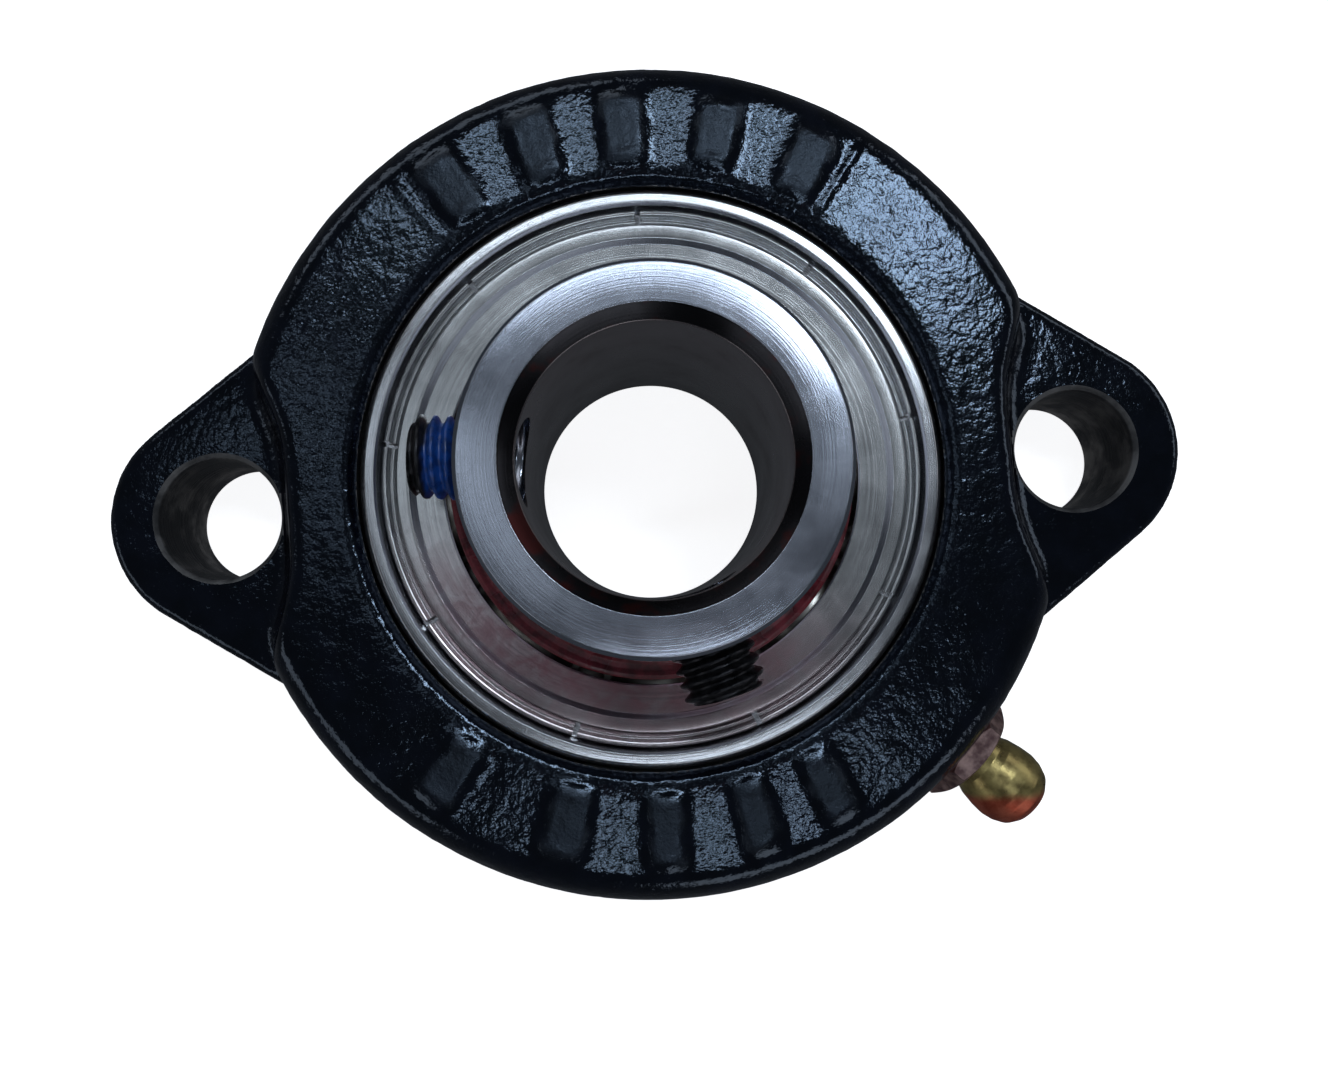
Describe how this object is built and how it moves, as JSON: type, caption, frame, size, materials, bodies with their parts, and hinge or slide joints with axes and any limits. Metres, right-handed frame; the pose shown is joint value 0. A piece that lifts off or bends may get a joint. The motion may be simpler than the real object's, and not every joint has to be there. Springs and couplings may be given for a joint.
{
  "type": "flange mount bearing",
  "caption": "Two-bolt flange bearing unit: black cast housing with a swivelling sealed ball insert, set-screw collar and side grease nipple.",
  "frame": {"origin": "where the bore's centre line meets the mounting face", "axes": "+X along the line of the two bolt holes, +Z along the bore axis away from the mounting face towards the set-screw collar, +Y across"},
  "size_m": [0.09, 0.067, 0.027],
  "materials": {
    "black_paint": "glossy black enamel over a rough sand casting",
    "ground_steel": "fine ground, satin",
    "ring_steel": "turned and ground",
    "ball_steel": "polished",
    "cage_steel": "pressed sheet, satin",
    "shield_steel": "pressed sheet, satin",
    "seal_rubber": "smooth dark nitrile",
    "black_oxide": "black oxide with a blue thread-lock patch on one screw",
    "nipple_brass": "turned, slightly stained",
    "spring_steel": "drawn wire"
  },
  "bodies": {
    "housing": {"housing": "black_paint", "grease_nipple_body": "nipple_brass", "nipple_spring": "spring_steel"},
    "insert": {"outer_ring": "ring_steel", "front_seal_shield": "shield_steel", "front_seal_lip": "seal_rubber", "rear_seal_shield": "shield_steel", "rear_seal_lip": "seal_rubber"},
    "inner_ring": {"inner_ring": "ground_steel"},
    "cage": {"cage_front": "cage_steel", "cage_rear": "cage_steel", "cage_rivet_1": "cage_steel", "cage_rivet_2": "cage_steel", "cage_rivet_3": "cage_steel", "cage_rivet_4": "cage_steel", "cage_rivet_5": "cage_steel", "cage_rivet_6": "cage_steel", "cage_rivet_7": "cage_steel", "cage_rivet_8": "cage_steel"},
    "ball_1": {"ball_1": "ball_steel"},
    "ball_2": {"ball_2": "ball_steel"},
    "ball_3": {"ball_3": "ball_steel"},
    "ball_4": {"ball_4": "ball_steel"},
    "ball_5": {"ball_5": "ball_steel"},
    "ball_6": {"ball_6": "ball_steel"},
    "ball_7": {"ball_7": "ball_steel"},
    "ball_8": {"ball_8": "ball_steel"},
    "set_screw_a": {"set_screw_a": "black_oxide"},
    "set_screw_b": {"set_screw_b": "black_oxide"},
    "nipple_check_ball": {"nipple_check_ball": "ball_steel"}
  },
  "joints": [
    {"name": "insert_swivel", "type": "hinge", "parent": "housing", "child": "insert", "pos_m": [0, 0, 0.009], "axis": [1, 0, 0], "range_deg": [-3, 3]},
    {"name": "inner_ring_spin", "type": "hinge", "parent": "insert", "child": "inner_ring", "pos_m": [0, 0, 0.009], "axis": [0, 0, 1], "continuous": true},
    {"name": "cage_spin", "type": "hinge", "parent": "insert", "child": "cage", "pos_m": [0, 0, 0.009], "axis": [0, 0, 1], "continuous": true},
    {"name": "ball_1_spin", "type": "hinge", "parent": "cage", "child": "ball_1", "pos_m": [0.01675, 0, 0.009], "axis": [0, 0, 1], "continuous": true},
    {"name": "ball_2_spin", "type": "hinge", "parent": "cage", "child": "ball_2", "pos_m": [0.01184, 0.01184, 0.009], "axis": [0, 0, 1], "continuous": true},
    {"name": "ball_3_spin", "type": "hinge", "parent": "cage", "child": "ball_3", "pos_m": [0, 0.01675, 0.009], "axis": [0, 0, 1], "continuous": true},
    {"name": "ball_4_spin", "type": "hinge", "parent": "cage", "child": "ball_4", "pos_m": [-0.01184, 0.01184, 0.009], "axis": [0, 0, 1], "continuous": true},
    {"name": "ball_5_spin", "type": "hinge", "parent": "cage", "child": "ball_5", "pos_m": [-0.01675, 0, 0.009], "axis": [0, 0, 1], "continuous": true},
    {"name": "ball_6_spin", "type": "hinge", "parent": "cage", "child": "ball_6", "pos_m": [-0.01184, -0.01184, 0.009], "axis": [0, 0, 1], "continuous": true},
    {"name": "ball_7_spin", "type": "hinge", "parent": "cage", "child": "ball_7", "pos_m": [0, -0.01675, 0.009], "axis": [0, 0, 1], "continuous": true},
    {"name": "ball_8_spin", "type": "hinge", "parent": "cage", "child": "ball_8", "pos_m": [0.01184, -0.01184, 0.009], "axis": [0, 0, 1], "continuous": true},
    {"name": "set_screw_a_travel", "type": "slide", "parent": "inner_ring", "child": "set_screw_a", "axis": [-0.9925, 0.1219, 0], "range_m": [-0.0035, 0.0015]},
    {"name": "set_screw_b_travel", "type": "slide", "parent": "inner_ring", "child": "set_screw_b", "axis": [0.225, -0.9744, 0], "range_m": [-0.0035, 0.0015]},
    {"name": "nipple_check_travel", "type": "slide", "parent": "housing", "child": "nipple_check_ball", "axis": [-0.7071, 0.7071, 0], "range_m": [0, 0.0008], "stiffness_N_per_m": 50, "springref_m": -0.0006, "deforming": ["nipple_spring"]}
  ],
  "couplings": [
    {"joint": "cage_spin", "follows": "inner_ring_spin", "ratio": 0.38152},
    {"joint": "ball_1_spin", "follows": "inner_ring_spin", "ratio": -1.9916},
    {"joint": "ball_2_spin", "follows": "inner_ring_spin", "ratio": -1.9916},
    {"joint": "ball_3_spin", "follows": "inner_ring_spin", "ratio": -1.9916},
    {"joint": "ball_4_spin", "follows": "inner_ring_spin", "ratio": -1.9916},
    {"joint": "ball_5_spin", "follows": "inner_ring_spin", "ratio": -1.9916},
    {"joint": "ball_6_spin", "follows": "inner_ring_spin", "ratio": -1.9916},
    {"joint": "ball_7_spin", "follows": "inner_ring_spin", "ratio": -1.9916},
    {"joint": "ball_8_spin", "follows": "inner_ring_spin", "ratio": -1.9916}
  ]
}
